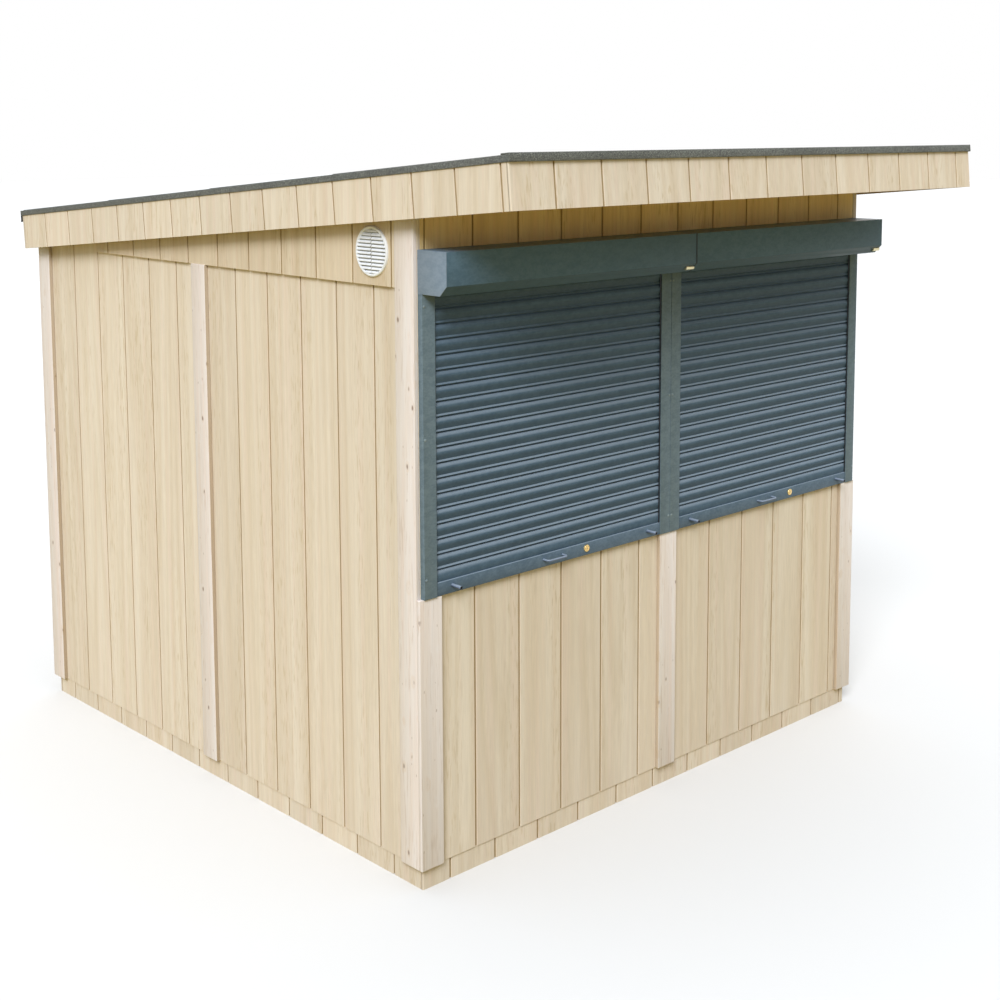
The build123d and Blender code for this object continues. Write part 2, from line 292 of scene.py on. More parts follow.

# %% [markdown]
# The corner boards and battens are planed spruce, almost white with a pink tinge, and they have
# knots. A knot is a cell centre of a Voronoi pattern that happens to lie near the face of the board:
# most cells lie too deep to show, so the knots come out few and of different sizes. The growth rings
# bend round each knot because its distance is added to the ring pattern. The flanks that turn towards
# the wall's boards are browner than the planed face, partly as sawn wood and partly as painted shade
# where they meet the wall.

# %% Planed spruce with knots
KNOT_CELLS = (17.0, 17.0, 9.5)
MARK_CELLS = (34.0, 34.0, 13.0)
KNOT_RINGS = 55.0
SPRUCE_TONES = {
    "pale": (233, 227, 225),
    "middle": (226, 218, 215),
    "streak": (231, 216, 210),
    "ring": (220, 201, 183),
    "dash": (186, 164, 146),
    "halo": (214, 190, 168),
    "mark": (150, 130, 114),
    "knot": (130, 107, 94),
    # The brown of the marked flanks, partly sawn wood and partly painted shade.
    "edge": (170, 148, 112),
}


def specks(tree, place, scale, core, edge):
    """1 inside scattered upright specks and 0 outside: the near cell centres of a Voronoi pattern."""
    cells = tree.node("ShaderNodeMapping", {}, {"Vector": place, "Scale": scale})
    reach = tree.node("ShaderNodeTexVoronoi", {}, {"Vector": cells, "Scale": 1.0, "Randomness": 1.0})
    return ease(tree, reach, core, edge, 1.0, 0.0)


def planed_finish(name):
    """Planed spruce: faint straight streaks, small brown knots, short resin marks and sawn edges."""
    finish, tree, shader = new_finish(name, Specular_IOR_Level=0.3)
    tone = {part: colour(*chart) for part, chart in SPRUCE_TONES.items()}
    place, number = board_place(tree)
    wander = noise(tree, place, (60.0, 60.0, 22.0)) * 0.012 - 0.006
    bent = tree.node("ShaderNodeVectorMath", {"operation": "ADD"}, {0: place, 1: wander})
    knot = specks(tree, bent, KNOT_CELLS, 0.03, 0.115)
    halo = specks(tree, bent, KNOT_CELLS, 0.05, 0.32)
    mark = specks(tree, bent, MARK_CELLS, 0.04, 0.09)
    band = noise(tree, place, (24.0, 24.0, 0.4), 3.0, 0.6)
    streak = noise(tree, place, (46.0, 46.0, 0.6))
    flame = noise(tree, place, (9.0, 9.0, 0.3), 1.0, 0.4)
    fibre = noise(tree, place, (300.0, 300.0, 5.0), 3.0, 0.65)
    dash = ease(tree, noise(tree, place, (140.0, 140.0, 9.0)), 0.58, 0.70)
    ring = (flame * KNOT_RINGS + halo * 6.0 + fibre).math("SINE") * 0.5 + 0.5
    base = layered(
        tree,
        mix(tree, ease(tree, band, 0.3, 0.7), tone["pale"], tone["middle"]),
        (ease(tree, streak, 0.5, 0.72) * 0.6, tone["streak"]),
        (ring * 0.24, tone["ring"]),
        (dash * 0.3, tone["dash"]),
        (halo * 0.16, tone["halo"]),
        (mark * 0.5, tone["mark"]),
        (knot * 0.85, tone["knot"]),
        # Marked flanks turn brown, partly as painted shade.
        (carried(tree, "groove"), tone["edge"]),
    )
    base = shaded(tree, base, (fibre - 0.5) * 0.24 + (number - 0.5) * 0.05 + 1.0)
    height = fibre * 0.7 + ring * 0.2 - knot * 0.6
    surface(shader, tree, base, fibre * 0.14 + 0.5, height, deep=0.0005, strength=0.35)
    return finish


planed_spruce = planed_finish("planed_spruce")
print("planed finish:", planed_spruce.name)

# %% [markdown]
# The shutters are powder-coated aluminium in a blue grey. The coat isn't a mirror: the thin metal
# under it is slightly uneven, which mottles what it reflects, and the powder leaves a fine orange
# peel. Both are bumps, with a faint change of tone. Faces that point up are painted paler, partly as
# dust and partly as painted highlight from the sky, and less so towards the roof, as painted shade
# under it. Faces that point down are painted darker, as painted shade. The surface's own direction
# tells the two apart. One function makes every metal, and a table holds what differs.

# %% Shutter metal, brass, drip metal
# A pale colour for faces that point up, partly dust and partly painted highlight.
DUST_AND_TOP_HIGHLIGHT = colour(176, 190, 204)
# A dark colour for faces that point down, as painted shade.
UNDERSIDE_SHADE = colour(48, 62, 76)
# The heights over which the pale colour fades to its share under the roof, as painted shade there.
ROOF_SHADE_HEIGHTS = (1.45, 1.9)
HIGHLIGHT_UNDER_ROOF = 0.3
POWDER = {"roughness": 0.36, "gloss": 0.1}
DUST_AND_SHADING_COAT = {**POWDER, "dust": 0.42}
METALS = {
    "coated_metal": ((86, 105, 123), (100, 119, 137), DUST_AND_SHADING_COAT),
    # The box's coat leans to green and blue, partly its own tone and partly painted reflection of its
    # surroundings.
    "box_metal": ((82, 109, 129), (94, 121, 142), DUST_AND_SHADING_COAT),
    # The slats' coat is a darker copy of the bars' one, as painted shade under the roof.
    "slat_metal_painted_shade": ((72, 94, 113), (84, 106, 125), DUST_AND_SHADING_COAT),
    "rail_metal": ((99, 117, 129), (113, 131, 142), POWDER),
    # The end caps are the box's coat made lighter, as painted sheen where they face the sky.
    "cap_metal": ((122, 139, 157), (134, 150, 168), {"roughness": 0.4}),
    # The joint strip's coat is dark, as painted shade of the gap between the boxes.
    "joint_metal_painted_shade": ((50, 62, 68), (58, 70, 76), {"roughness": 0.5}),
    # The handles and stops are a lighter copy of the coat, as painted highlight along them.
    "fitting_metal": ((98, 113, 140), (110, 125, 152), {"roughness": 0.3, "gloss": 0.4, "dust": 0.5}),
    "rivet_metal": ((122, 138, 146), (136, 151, 158), {"roughness": 0.3}),
    "black_metal": ((38, 39, 40), (48, 49, 50), {"roughness": 0.4}),
    "lock_brass": ((224, 192, 124), (238, 210, 150), {"roughness": 0.24, "metallic": 1.0}),
    "socket_brass": ((204, 192, 148), (220, 210, 172), {"roughness": 0.3, "metallic": 1.0}),
}


def metal_finish(name, tone, mottle, roughness, metallic=0.0, gloss=0.15, dust=0.0):
    """Coated or bare metal: mottle, uneven sheet, orange peel, dust and painted highlight above, painted
    shade below.
    """
    finish, tree, shader = new_finish(name, Metallic=metallic, Specular_IOR_Level=gloss)
    place = object_place(tree)
    cloud = noise(tree, place, (26.0, 26.0, 44.0), 4.0, 0.62)
    dapple = noise(tree, place, (95.0, 95.0, 150.0), 3.0, 0.6)
    peel = noise(tree, place, (900.0, 900.0, 900.0), 1.0)
    share = ease(tree, cloud * 0.6 + dapple * 0.4, 0.36, 0.64)
    base = mix(tree, share, colour(*tone), colour(*mottle))
    if dust:
        # Faces that point up are painted paler, as dust and painted highlight; faces that point down
        # darker, as painted shade.
        upward = split(tree, tree.node("ShaderNodeNewGeometry", {}, {}, out="Normal"))[2]
        # The pale colour fades towards the roof, as painted shade under it.
        reach = ease(tree, split(tree, place)[2], *ROOF_SHADE_HEIGHTS, 1.0, HIGHLIGHT_UNDER_ROOF)
        base = layered(
            tree,
            base,
            (ease(tree, upward, 0.06, 0.7) * reach * dust, DUST_AND_TOP_HIGHLIGHT),
            (ease(tree, upward, 0.0, -0.35) * dust, UNDERSIDE_SHADE),
        )
    height = dapple * 0.7 + peel * 0.12
    surface(shader, tree, base, share * 0.14 + roughness, height, deep=0.0007, strength=0.16)
    return finish


metal = {name: metal_finish(name, *tones, **coat) for name, (*tones, coat) in METALS.items()}
print("metals:", *metal)

# %% [markdown]
# The roof is mineral felt: bitumen sheet under crushed slate. A Voronoi pattern gives the grains, with
# a tone and a relief for each, and a noise shows where grains have thinned out. The vent is white
# moulded plastic with a fly screen behind it, whose threads are two sets of sine waves.

# %% Felt, vent plastic, fly screen, and black for seals and painted shade
GRAINS_PER_METRE = 480.0
THREAD_PITCH = 0.0025
GRAIN_STOPS = [
    (0.0, colour(76, 79, 78)),
    (0.45, colour(107, 111, 109)),
    (0.8, colour(130, 134, 131)),
    (1.0, colour(164, 167, 162)),
]


def felt_finish(name):
    """Grey mineral felt with slate grains about two millimetres across."""
    finish, tree, shader = new_finish(name, Specular_IOR_Level=0.35)
    place = object_place(tree)
    sockets = {"Vector": place, "Scale": GRAINS_PER_METRE}
    grain = tree.node("ShaderNodeTexVoronoi", {}, sockets)
    chip = tree.node("ShaderNodeTexVoronoi", {}, sockets, out="Color")
    tint = tree.node("ShaderNodeSeparateColor", {}, {"Color": chip})
    worn = noise(tree, place, (2.2, 2.2, 2.2), 4.0, 0.6)
    base = layered(
        tree,
        tree.node("ShaderNodeValToRGB", {"stops": GRAIN_STOPS}, {"Fac": tint}),
        (ease(tree, worn, 0.5, 0.75) * 0.45, colour(66, 67, 66)),
        (carried(tree, "board") * 0.4, colour(58, 61, 63)),
    )
    surface(shader, tree, base, tint * 0.1 + 0.82, 1.0 - grain, deep=0.0012, strength=0.7)
    return finish


def plastic_finish(name, tone, streak):
    """Moulded plastic with a faint streak and a little weathering."""
    finish, tree, shader = new_finish(name)
    place = object_place(tree)
    soft = noise(tree, place, (40.0, 40.0, 12.0), 3.0)
    fine = noise(tree, place, (700.0, 700.0, 700.0), 1.0)
    base = mix(tree, ease(tree, soft, 0.35, 0.7), tone, streak)
    surface(shader, tree, base, soft * 0.12 + 0.34, fine, deep=0.0002, strength=0.2)
    return finish


def screen_finish(name):
    """Woven fly screen: light threads on a grey ground."""
    finish, tree, shader = new_finish(name)
    turns = 2 * math.pi / THREAD_PITCH
    across, upward = split(tree, object_place(tree))[1:]
    thread = (across * turns).math("SINE").math("MAXIMUM", (upward * turns).math("SINE"))
    base = mix(tree, ease(tree, thread, 0.3, 0.9), colour(140, 142, 142), colour(200, 202, 200))
    surface(shader, tree, base, 0.6, thread, deep=0.0003, strength=0.5)
    return finish


slate_felt = felt_finish("slate_felt")
white_plastic = plastic_finish("white_plastic", colour(243, 247, 254), colour(232, 236, 242))
# The black serves the rubber seals, and is painted shade in the keyhole and in the mouths of the stops.
soft_black = plastic_finish("soft_black", colour(18, 20, 24), colour(26, 28, 32))
fly_screen = screen_finish("fly_screen")
print("roof and vent finishes:", slate_felt.name, white_plastic.name, fly_screen.name)

# %% [markdown]
# Now the shapes. A finished piece is a plain mesh with its place in its points, on an object at the
# origin. It rides on the hut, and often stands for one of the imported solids, which is then hidden.
# These helpers make, join, clean and hand over such pieces.

# %% Helpers for pieces
HAIR = 0.00002
SMOOTH_LIMIT = 35.0


def mesh_from(work, name):
    """Keep a mesh in the making under this name."""
    mesh = bpy.data.meshes.new(name)
    work.to_mesh(mesh)
    work.free()
    return mesh


def new_piece(name, mesh, finish=None):
    """Put a mesh in the scene as an object at the origin, with this finish if it needs one."""
    if finish:
        mesh.materials.append(finish)
    piece = bpy.data.objects.new(name, mesh)
    bpy.context.scene.collection.objects.link(piece)
    return piece


def settle(piece):
    """Turn a piece's modifiers into its plain mesh."""
    ready = bpy.context.evaluated_depsgraph_get()
    shown = piece.evaluated_get(ready)
    mesh = bpy.data.meshes.new_from_object(shown, preserve_all_data_layers=True, depsgraph=ready)
    piece.modifiers.clear()
    piece.data = mesh
    return piece


def cleaned(piece):
    """Join points that lie a hair apart, and take out the faces that this leaves without area."""
    work = bmesh.new()
    work.from_mesh(piece.data)
    bmesh.ops.remove_doubles(work, verts=work.verts, dist=HAIR)
    bmesh.ops.dissolve_degenerate(work, edges=work.edges, dist=HAIR)
    work.to_mesh(piece.data)
    work.free()
    return piece


def merge(name, *pieces):
    """Make one object out of several."""
    work = bmesh.new()
    finishes = []
    for piece in pieces:
        mesh = piece.data
        finishes.extend(finish for finish in mesh.materials if finish not in finishes)
        before = len(work.faces)
        work.from_mesh(mesh)
        work.faces.ensure_lookup_table()
        for face in work.faces[before:]:
            face.material_index = finishes.index(mesh.materials[face.material_index])
        bpy.data.objects.remove(piece)
    whole = mesh_from(work, name)
    for finish in finishes:
        whole.materials.append(finish)
    return new_piece(name, whole)


def smooth(piece, degrees=SMOOTH_LIMIT):
    """Shade a piece smooth, with its sharper edges kept."""
    piece.data.shade_smooth()
    piece.data.set_sharp_from_angle(angle=math.radians(degrees))
    return piece


def hand_over(piece, slot, *replaced):
    """Let a finished piece ride on the hut and stand for the nodes that it replaces."""
    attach(piece, "root")
    if replaced:
        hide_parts(*replaced)


print("piece helpers are ready")

# %% [markdown]
# Some shapes repeat: boards along a wall, slats up a shutter, louvres in the vent, rivets on a rail.
# Python could copy them one by one, but a tree of Geometry Nodes states the rule once, with a few named
# sizes as its inputs. A tree ends in Realize Instances and Set Material, so that its copies are real
# faces with a finish. A modifier runs it on an object, and the result is kept as a plain mesh.

# %% Helpers for trees
SOCKETS = {
    "float": "NodeSocketFloat",
    "count": "NodeSocketInt",
    "vector": "NodeSocketVector",
    "finish": "NodeSocketMaterial",
    "shape": "NodeSocketGeometry",
}


def new_tree(name, inputs):
    """Start a tree with these named inputs; returns it and a wire for each input."""
    tree = bpy.data.node_groups.new(name, "GeometryNodeTree")
    tree.is_modifier = True
    for label, kind in {"Geometry": "shape", **inputs, "Finish": "finish"}.items():
        tree.interface.new_socket(label, in_out="INPUT", socket_type=SOCKETS[kind])
    tree.interface.new_socket("Geometry", in_out="OUTPUT", socket_type=SOCKETS["shape"])
    inlet = tree.nodes.new("NodeGroupInput")
    return tree, {s.name: Wire(tree, s) for s in inlet.outputs if s.name}


def stored(shape, name, value, domain="FACE"):
    """Let every face or point of a shape carry a value under this name."""
    sockets = {"Geometry": shape, "Name": name, "Value": value}
    return shape.node("GeometryNodeStoreNamedAttribute", {"domain": domain}, sockets)


def copied(shape, points, **sockets):
    """Put a copy of a shape on every point."""
    sockets = {"Points": points, "Instance": shape, **sockets}
    return points.node("GeometryNodeInstanceOnPoints", {}, sockets)


def close_tree(tree, at, shape):
    """End a tree in Realize Instances and Set Material."""
    real = shape.node("GeometryNodeRealizeInstances", {}, {"Geometry": shape})
    done = shape.node("GeometryNodeSetMaterial", {}, {"Geometry": real, "Material": at["Finish"]})
    outlet = tree.nodes.new("NodeGroupOutput")
    tree.links.new(done.socket, outlet.inputs[0])


def grow(name, tree, start=None, **values):
    """Run a tree on an object and keep the result as a plain mesh."""
    piece = new_piece(name, start or bpy.data.meshes.new(name))
    modifier = piece.modifiers.new(name, "NODES")
    modifier.node_group = tree
    for socket in tree.interface.items_tree:
        if socket.in_out == "INPUT" and socket.name in values:
            modifier[socket.identifier] = values[socket.name]
    return settle(piece)


print("tree helpers are ready")

# %% [markdown]
# The roof slopes down to the back. Its felt has the highest point of the sheet at its front edge, so
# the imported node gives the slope's start, and everything under the roof is measured square to it.

# %% The roof's slope
ROOF_PITCH = math.radians(5.25)
FELT_EDGE = 0.022
FELT_SHEET = 0.004
SHEET = 0.012
FASCIA_DROP = 0.141
RAFTER_FOOT = 0.117
roof_low, roof_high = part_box("roof_felt")
roof_front = roof_low.y + FELT_EDGE * math.sin(ROOF_PITCH)
roof_length = (roof_high.y - roof_front) / math.cos(ROOF_PITCH)
roof_place = Matrix.Translation((0, roof_front, roof_high.z)) @ Matrix.Rotation(-ROOF_PITCH, 4, "X")


def roof_height(y, depth):
    """Height at y of the plane that lies this depth below the felt, square to it."""
    return roof_high.z - (y - roof_front) * math.tan(ROOF_PITCH) - depth / math.cos(ROOF_PITCH)


print("roof front edge", round(roof_front, 4), round(roof_high.z, 4), "length", round(roof_length, 4))

# %% [markdown]
# The wall sheets are boards about 203 mm wide with narrow grooves between them. Grooves could be
# painted on, but they catch real shade only if they are cut. Each sheet is a tree: points stand for the
# boards, every point knows where its board starts and ends, and a small block on each point is pulled
# out to that size with its front arrises planed off. A backing sheet closes the grooves.

# %% A tree for a row of boards
BOARD_SIZES = "Low High Joint Pitch Foot Head Slope Thickness Groove Depth Arris".split()
BLOCK = {"Size": (1, 1, 1), "Vertices X": 4, "Vertices Y": 2, "Vertices Z": 2}
BLOCK_INNER = 0.3
BOARD_ROOT = 1.25
END_MARGIN = 0.0005
FLANK_LIMIT = 0.9
# How far a board's flanks turn brown, partly as painted shade in the grooves.
FLANK_SHADE_SHARE = 0.7


def stretched(shape, at, left, right, front, back, arris):
    """Pull a unit block out between two ends and two faces, with its front arrises taken off."""
    x, y, z = split(shape, shape.node("GeometryNodeInputPosition"))
    outer = x.math("ABSOLUTE") > BLOCK_INNER
    inset = (1 - outer) * at["Arris"]
    run = left + inset + (x > 0.0) * (right - left - inset * 2.0)
    face = (y < 0.0) * (front + outer * arris) + (y > 0.0) * back
    rise = (z < 0.0) * at["Foot"] + (z > 0.0) * (at["Head"] + at["Slope"] * run)
    place = shape.node("ShaderNodeCombineXYZ", {}, {0: run, 1: face, 2: rise})
    return shape.node("GeometryNodeSetPosition", {}, {"Geometry": shape, "Position": place})


board_row, at = new_tree("board_row", {**dict.fromkeys(BOARD_SIZES, "float"), "Seed": "count"})
first = ((at["Low"] - at["Joint"]) / at["Pitch"]).math("FLOOR")
last = ((at["High"] - at["Joint"]) / at["Pitch"]).math("CEIL")
index = first.node("GeometryNodeInputIndex")
near = at["Joint"] + (first + index) * at["Pitch"]
half_groove = at["Groove"] * 0.5
facts = {
    "left": (near + half_groove).math("MAXIMUM", at["Low"]),
    "right": (near + at["Pitch"] - half_groove).math("MINIMUM", at["High"]),
    "number": first.node("FunctionNodeRandomValue", {}, {"ID": index, "Seed": at["Seed"]}, out=1),
}
points = first.node("GeometryNodePoints", {}, {"Count": last - first})
for label, value in facts.items():
    points = stored(points, label, value, "POINT")
boards = copied(first.node("GeometryNodeMeshCube", {}, BLOCK), points)
boards = first.node("GeometryNodeRealizeInstances", {}, {"Geometry": boards})
left, right, number = [first.node("GeometryNodeInputNamedAttribute", {}, {"Name": n}) for n in facts]
boards = stretched(boards, at, left, right, 0.0, at["Depth"] * BOARD_ROOT, at["Arris"])
along = split(first, first.node("GeometryNodeInputPosition"))[0]
flank = split(first, first.node("GeometryNodeInputNormal"))[0].math("ABSOLUTE") > FLANK_LIMIT
inside = (along > at["Low"] + END_MARGIN) * (along < at["High"] - END_MARGIN)
boards = stored(boards, "board", number)
# The board flanks carry the mark for brown, partly painted shade.
boards = stored(boards, "groove", flank * inside * FLANK_SHADE_SHARE)
for label in facts:
    boards = first.node("GeometryNodeRemoveAttribute", {}, {"Geometry": boards, "Name": label})
backing = first.node("GeometryNodeMeshCube", {}, BLOCK)
backing = stretched(backing, at, at["Low"], at["High"], at["Depth"], at["Thickness"], 0.0)
# The ground of the grooves carries the mark for brown, partly painted shade.
backing = stored(backing, "groove", 1 - flank)
both = first.node("GeometryNodeJoinGeometry", {}, {"Geometry": [boards, backing]})
close_tree(board_row, at, both)
print("board tree:", len(board_row.nodes), "nodes")

# %% [markdown]
# A sheet is made flat, facing the front, and then turned to its own wall. The grooves of the wall,
# gable, skirt and fascia don't line up on the real hut, so each kind has a groove of its own to start
# from, and each sheet has a seed of its own, so that no two show the same boards.

# %% One boarded sheet
BOARD_PITCH = 0.2032
GROOVE = 0.0068
GROOVE_DEPTH = 0.0065
BOARD_ARRIS = 0.0018
FACING = {"front": 0.0, "right": 90.0, "back": 180.0, "left": -90.0}
SHEET_SEED = {
    "left_wall": 11,
    "right_wall": 12,
    "left_gable": 15,
    "right_gable": 16,
    "front_lower_wall": 21,
    "front_header": 22,
    "back_wall": 23,
    "front_skirt": 24,
    "back_skirt": 25,
    "left_skirt": 26,
    "right_skirt": 27,
    "front_fascia": 31,
    "back_fascia": 32,
    "left_fascia": 33,
    "right_fascia": 34,
}


def sheet_boards(sheet, wall, span, joint, foot, head, face, tilt=0.0, place=None, wood="cladding"):
    """Board one sheet: span and joint run along the world axis, and head is the top where that is 0."""
    turn = -1 if wall in ("left", "back") else 1
    low, high = sorted(turn * end for end in span)
    piece = grow(
        f"{sheet}_boards",
        board_row,
        Low=low,
        High=high,
        Joint=turn * joint,
        Pitch=BOARD_PITCH,
        Foot=foot,
        Head=head,
        Slope=turn * tilt,
        Thickness=SHEET,
        Groove=GROOVE,
        Depth=GROOVE_DEPTH,
        Arris=BOARD_ARRIS,
        Seed=SHEET_SEED[sheet],
        Finish=board_wood[wood],
    )
    offset = (face, 0, 0) if wall in ("left", "right") else (0, face, 0)
    stood = Matrix.Translation(offset) @ Matrix.Rotation(math.radians(FACING[wall]), 4, "Z")
    piece.data.transform((place or Matrix.Identity(4)) @ stood)
    return piece


print("sheets to board:", len(SHEET_SEED))

# %% [markdown]
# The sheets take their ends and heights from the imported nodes. Two tables give one groove of each kind,
# by its place along X on the front and back and along Y on the sides. The side walls and gables follow
# the slope at their heads, and the header and the back wall end under the rafters.

# %% Walls, gables, and the skirts of front and back
JOINT_ACROSS = {"wall": -0.9585, "skirt": -1.071, "fascia": -1.075}
JOINT_ALONG = {"wall": -1.0405, "gable": -1.149, "skirt": -1.106, "fascia": 0.0402}
SIDES = {"left": 0, "right": 1}
# The gables take the darker boards, as painted shade.
SIDE_SHEETS = (("wall", FELT_EDGE, "cladding"), ("gable", RAFTER_FOOT, "gable_cladding_painted_shade"))
UNDER_ROOF = ("front_header", "back_wall")
boarded = {}
for wall, side in SIDES.items():
    for kind, depth, wood in SIDE_SHEETS:
        sheet = f"{wall}_{kind}"
        low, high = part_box(sheet)
        boarded[sheet] = sheet_boards(
            sheet,
            wall,
            (low.y, high.y),
            JOINT_ALONG[kind],
            low.z,
            roof_height(0.0, depth),
            (low, high)[side].x,
            tilt=-math.tan(ROOF_PITCH),
            wood=wood,
        )
for sheet, wall, kind in (
    ("front_lower_wall", "front", "wall"),
    ("front_header", "front", "wall"),
    ("back_wall", "back", "wall"),
    ("front_skirt", "front", "skirt"),
    ("back_skirt", "back", "skirt"),
):
    low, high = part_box(sheet)
    head = roof_height(high.y, RAFTER_FOOT) if sheet in UNDER_ROOF else high.z
    face = low.y if wall == "front" else high.y
    # The header takes the brighter, more golden boards, as painted warm light.
    wood = "header_cladding_painted_light" if sheet == "front_header" else "cladding"
    boarded[sheet] = sheet_boards(
        sheet, wall, (low.x, high.x), JOINT_ACROSS[kind], low.z, head, face, wood=wood
    )
print("boarded:", *boarded)

# %% [markdown]
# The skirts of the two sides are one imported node, so their boards are merged into one piece. The joints
# of the fascia stand square to the slope, so those sheets are turned with the roof, and the ones at the
# sides fit between the front and the back.

# %% Skirts of the sides, and fascias
low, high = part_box("side_skirts")
skirts = []
for wall, side in SIDES.items():
    face = (low, high)[side].x
    span = (low.y, high.y)
    skirts.append(sheet_boards(f"{wall}_skirt", wall, span, JOINT_ALONG["skirt"], low.z, high.z, face))
boarded["side_skirts"] = merge("side_skirts_boards", *skirts)
fascia_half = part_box("front_fascia")[1].x
fascia_back = roof_length - FELT_SHEET
across = (-fascia_half, fascia_half)
between = (FELT_SHEET + SHEET, fascia_back - SHEET)
for wall, span, joints, face in (
    ("front", across, JOINT_ACROSS, FELT_SHEET),
    ("back", across, JOINT_ACROSS, fascia_back),
    ("left", between, JOINT_ALONG, -fascia_half),
    ("right", between, JOINT_ALONG, fascia_half),
):
    sheet = f"{wall}_fascia"
    foot = -FELT_EDGE - FASCIA_DROP
    boarded[sheet] = sheet_boards(
        sheet, wall, span, joints["fascia"], foot, -FELT_EDGE, face, place=roof_place
    )
print("boarded:", len(boarded), "with", sum(len(p.data.polygons) for p in boarded.values()), "faces")

# %% [markdown]
# The vent's round hole goes through the gable sheet and the wall behind it. A Boolean modifier cuts
# both with one cylinder, and the result is cleaned. All the sheets are then handed over.

# %% The vent's hole
VENT_HOLE = 0.070
BORE_LENGTH = 0.2
BORE_SIDES = 48
vent_low, vent_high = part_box("vent_grille")
vent_middle = (vent_low + vent_high) / 2
vent_middle.x = vent_high.x
work = bmesh.new()
bmesh.ops.create_cone(
    work,
    cap_ends=True,
    segments=BORE_SIDES,
    radius1=VENT_HOLE,
    radius2=VENT_HOLE,
    depth=BORE_LENGTH,
    matrix=Matrix.Translation(vent_middle) @ Matrix.Rotation(math.pi / 2, 4, "Y"),
)
vent_bore = new_piece("vent_bore", mesh_from(work, "vent_bore"))
for sheet in ("left_wall", "left_gable"):
    cut = boarded[sheet].modifiers.new("vent hole", "BOOLEAN")
    cut.operation = "DIFFERENCE"
    cut.solver = "EXACT"
    cut.use_self = True
    cut.object = vent_bore
    cleaned(settle(boarded[sheet]))
bpy.data.objects.remove(vent_bore)
for sheet, piece in boarded.items():
    hand_over(piece, "boards", sheet)
print("vent hole cut at", [round(v, 3) for v in vent_middle])

# %% [markdown]
# The planed boards, the metal sections and the roof edge already have the right shape as solids, but
# their edges are perfectly sharp. On a copy of each the triangles are merged back into flat faces and
# a Bevel rounds the edges, which is what catches the light along them. Each loose part of the copy gets
# a number, so that no two boards show the same wood. The flanks of the planed boards that turn towards
# the wall's boards are marked to turn brown, partly as sawn wood and partly as painted shade.

# %% Copies of solids with rounded edges
BATTEN_REACH = 0.3
# How brown the marked flanks turn, partly as painted shade.
SAWN_SHADE_SHARE = 0.7
PART_STEP = 0.382
NAME_STEP = 0.13
BEVEL_FROM = math.radians(40)


def number_parts(work, name):
    """Give each loose part of a mesh a number of its own between 0 and 1."""
    number = work.verts.layers.float.new("board")
    reached = set()
    count = 0
    for start in work.verts:
        if start in reached:
            continue
        count += 1
        front = [start]
        while front:
            vert = front.pop()
            if vert not in reached:
                reached.add(vert)
                vert[number] = (count * PART_STEP + len(name) * NAME_STEP) % 1.0
                front.extend(edge.other_vert(vert) for edge in vert.link_edges)


def mark_sawn_shade(work, axis):
    """Mark the flanks along this axis, if one is given, that face a wall's boards: sawn and in painted
    shade.
    """
    sawn = work.faces.layers.float.new("groove")
    if axis is None:
        return
    for face in work.faces:
        turned_to = face.normal[axis]
        middle = face.calc_center_median()[axis]
        if abs(turned_to) > FLANK_LIMIT and (abs(middle) < BATTEN_REACH or turned_to * middle < 0):
            face[sawn] = SAWN_SHADE_SHARE


def softened(node, finish, slot, arris, segments=2, edge_axis=None):
    """A copy of a node with rounded edges, which stands for it."""
    work = bmesh.new()
    work.from_mesh(nodes[node].data)
    bmesh.ops.remove_doubles(work, verts=work.verts, dist=HAIR)
    bmesh.ops.dissolve_limit(work, angle_limit=math.radians(1), verts=work.verts, edges=work.edges)
    number_parts(work, node)
    mark_sawn_shade(work, edge_axis)
    mesh = mesh_from(work, f"{node}_rounded")
    mesh.shade_smooth()
    piece = new_piece(f"{node}_rounded", mesh, finish)
    bevel = piece.modifiers.new("arris", "BEVEL")
    bevel.width = arris
    bevel.segments = segments
    bevel.limit_method = "ANGLE"
    bevel.angle_limit = BEVEL_FROM
    bevel.harden_normals = True
    hand_over(cleaned(settle(piece)), slot, node)


print("edges rounded where they turn by more than", round(math.degrees(BEVEL_FROM)), "degrees")

# %% [markdown]
# Folded metal has the tightest edges, and planed wood is eased a little more. The bottom bars and the
# felt, which bends over the roof's edge, are rounded most.

# %% Round the planed boards, the metal and the roof's edge
PLANED_ARRIS = 0.0025
FELT_BEND = 0.004
STRIP_ARRIS = 0.0018
SOCKET_ARRIS = 0.001
PLANED_ACROSS = {
    "side_corner_boards": 1,
    "front_corner_boards": 0,
    "back_corner_boards": 0,
    "side_battens": 1,
    "front_batten": 0,
    "back_batten": 0,
}
METAL_ARRIS = {
    "left_shutter_box": ("box_metal", 0.0009),
    "right_shutter_box": ("box_metal", 0.0009),
    # The end caps take the lighter coat, as painted sheen.
    "box_end_caps": ("cap_metal", 0.0006),
    "guide_rails": ("rail_metal", 0.0012),
    "left_bottom_bar": ("coated_metal", 0.0042),
    "right_bottom_bar": ("coated_metal", 0.0042),
    "shutter_stops": ("fitting_metal", 0.0006),
}
for node, axis in PLANED_ACROSS.items():
    softened(node, planed_spruce, "planed_pine", PLANED_ARRIS, edge_axis=axis)
for node, (finish, arris) in METAL_ARRIS.items():
    softened(node, metal[finish], "shutter_metal", arris)
softened("roof_felt", slate_felt, "roof_felt", FELT_BEND, segments=3)
softened("front_edge_strip", slate_felt, "roof_felt", STRIP_ARRIS)
softened("crank_sockets", metal["socket_brass"], "brass", SOCKET_ARRIS)
print("rounded copies:", len(PLANED_ACROSS) + len(METAL_ARRIS) + 3)

# %% [markdown]
# The frame behind the boards shows only from below and under the roof's front. Its solids stay, with
# a rougher pine whose grain runs along each timber. The handles and the drip edge keep their solids
# too.

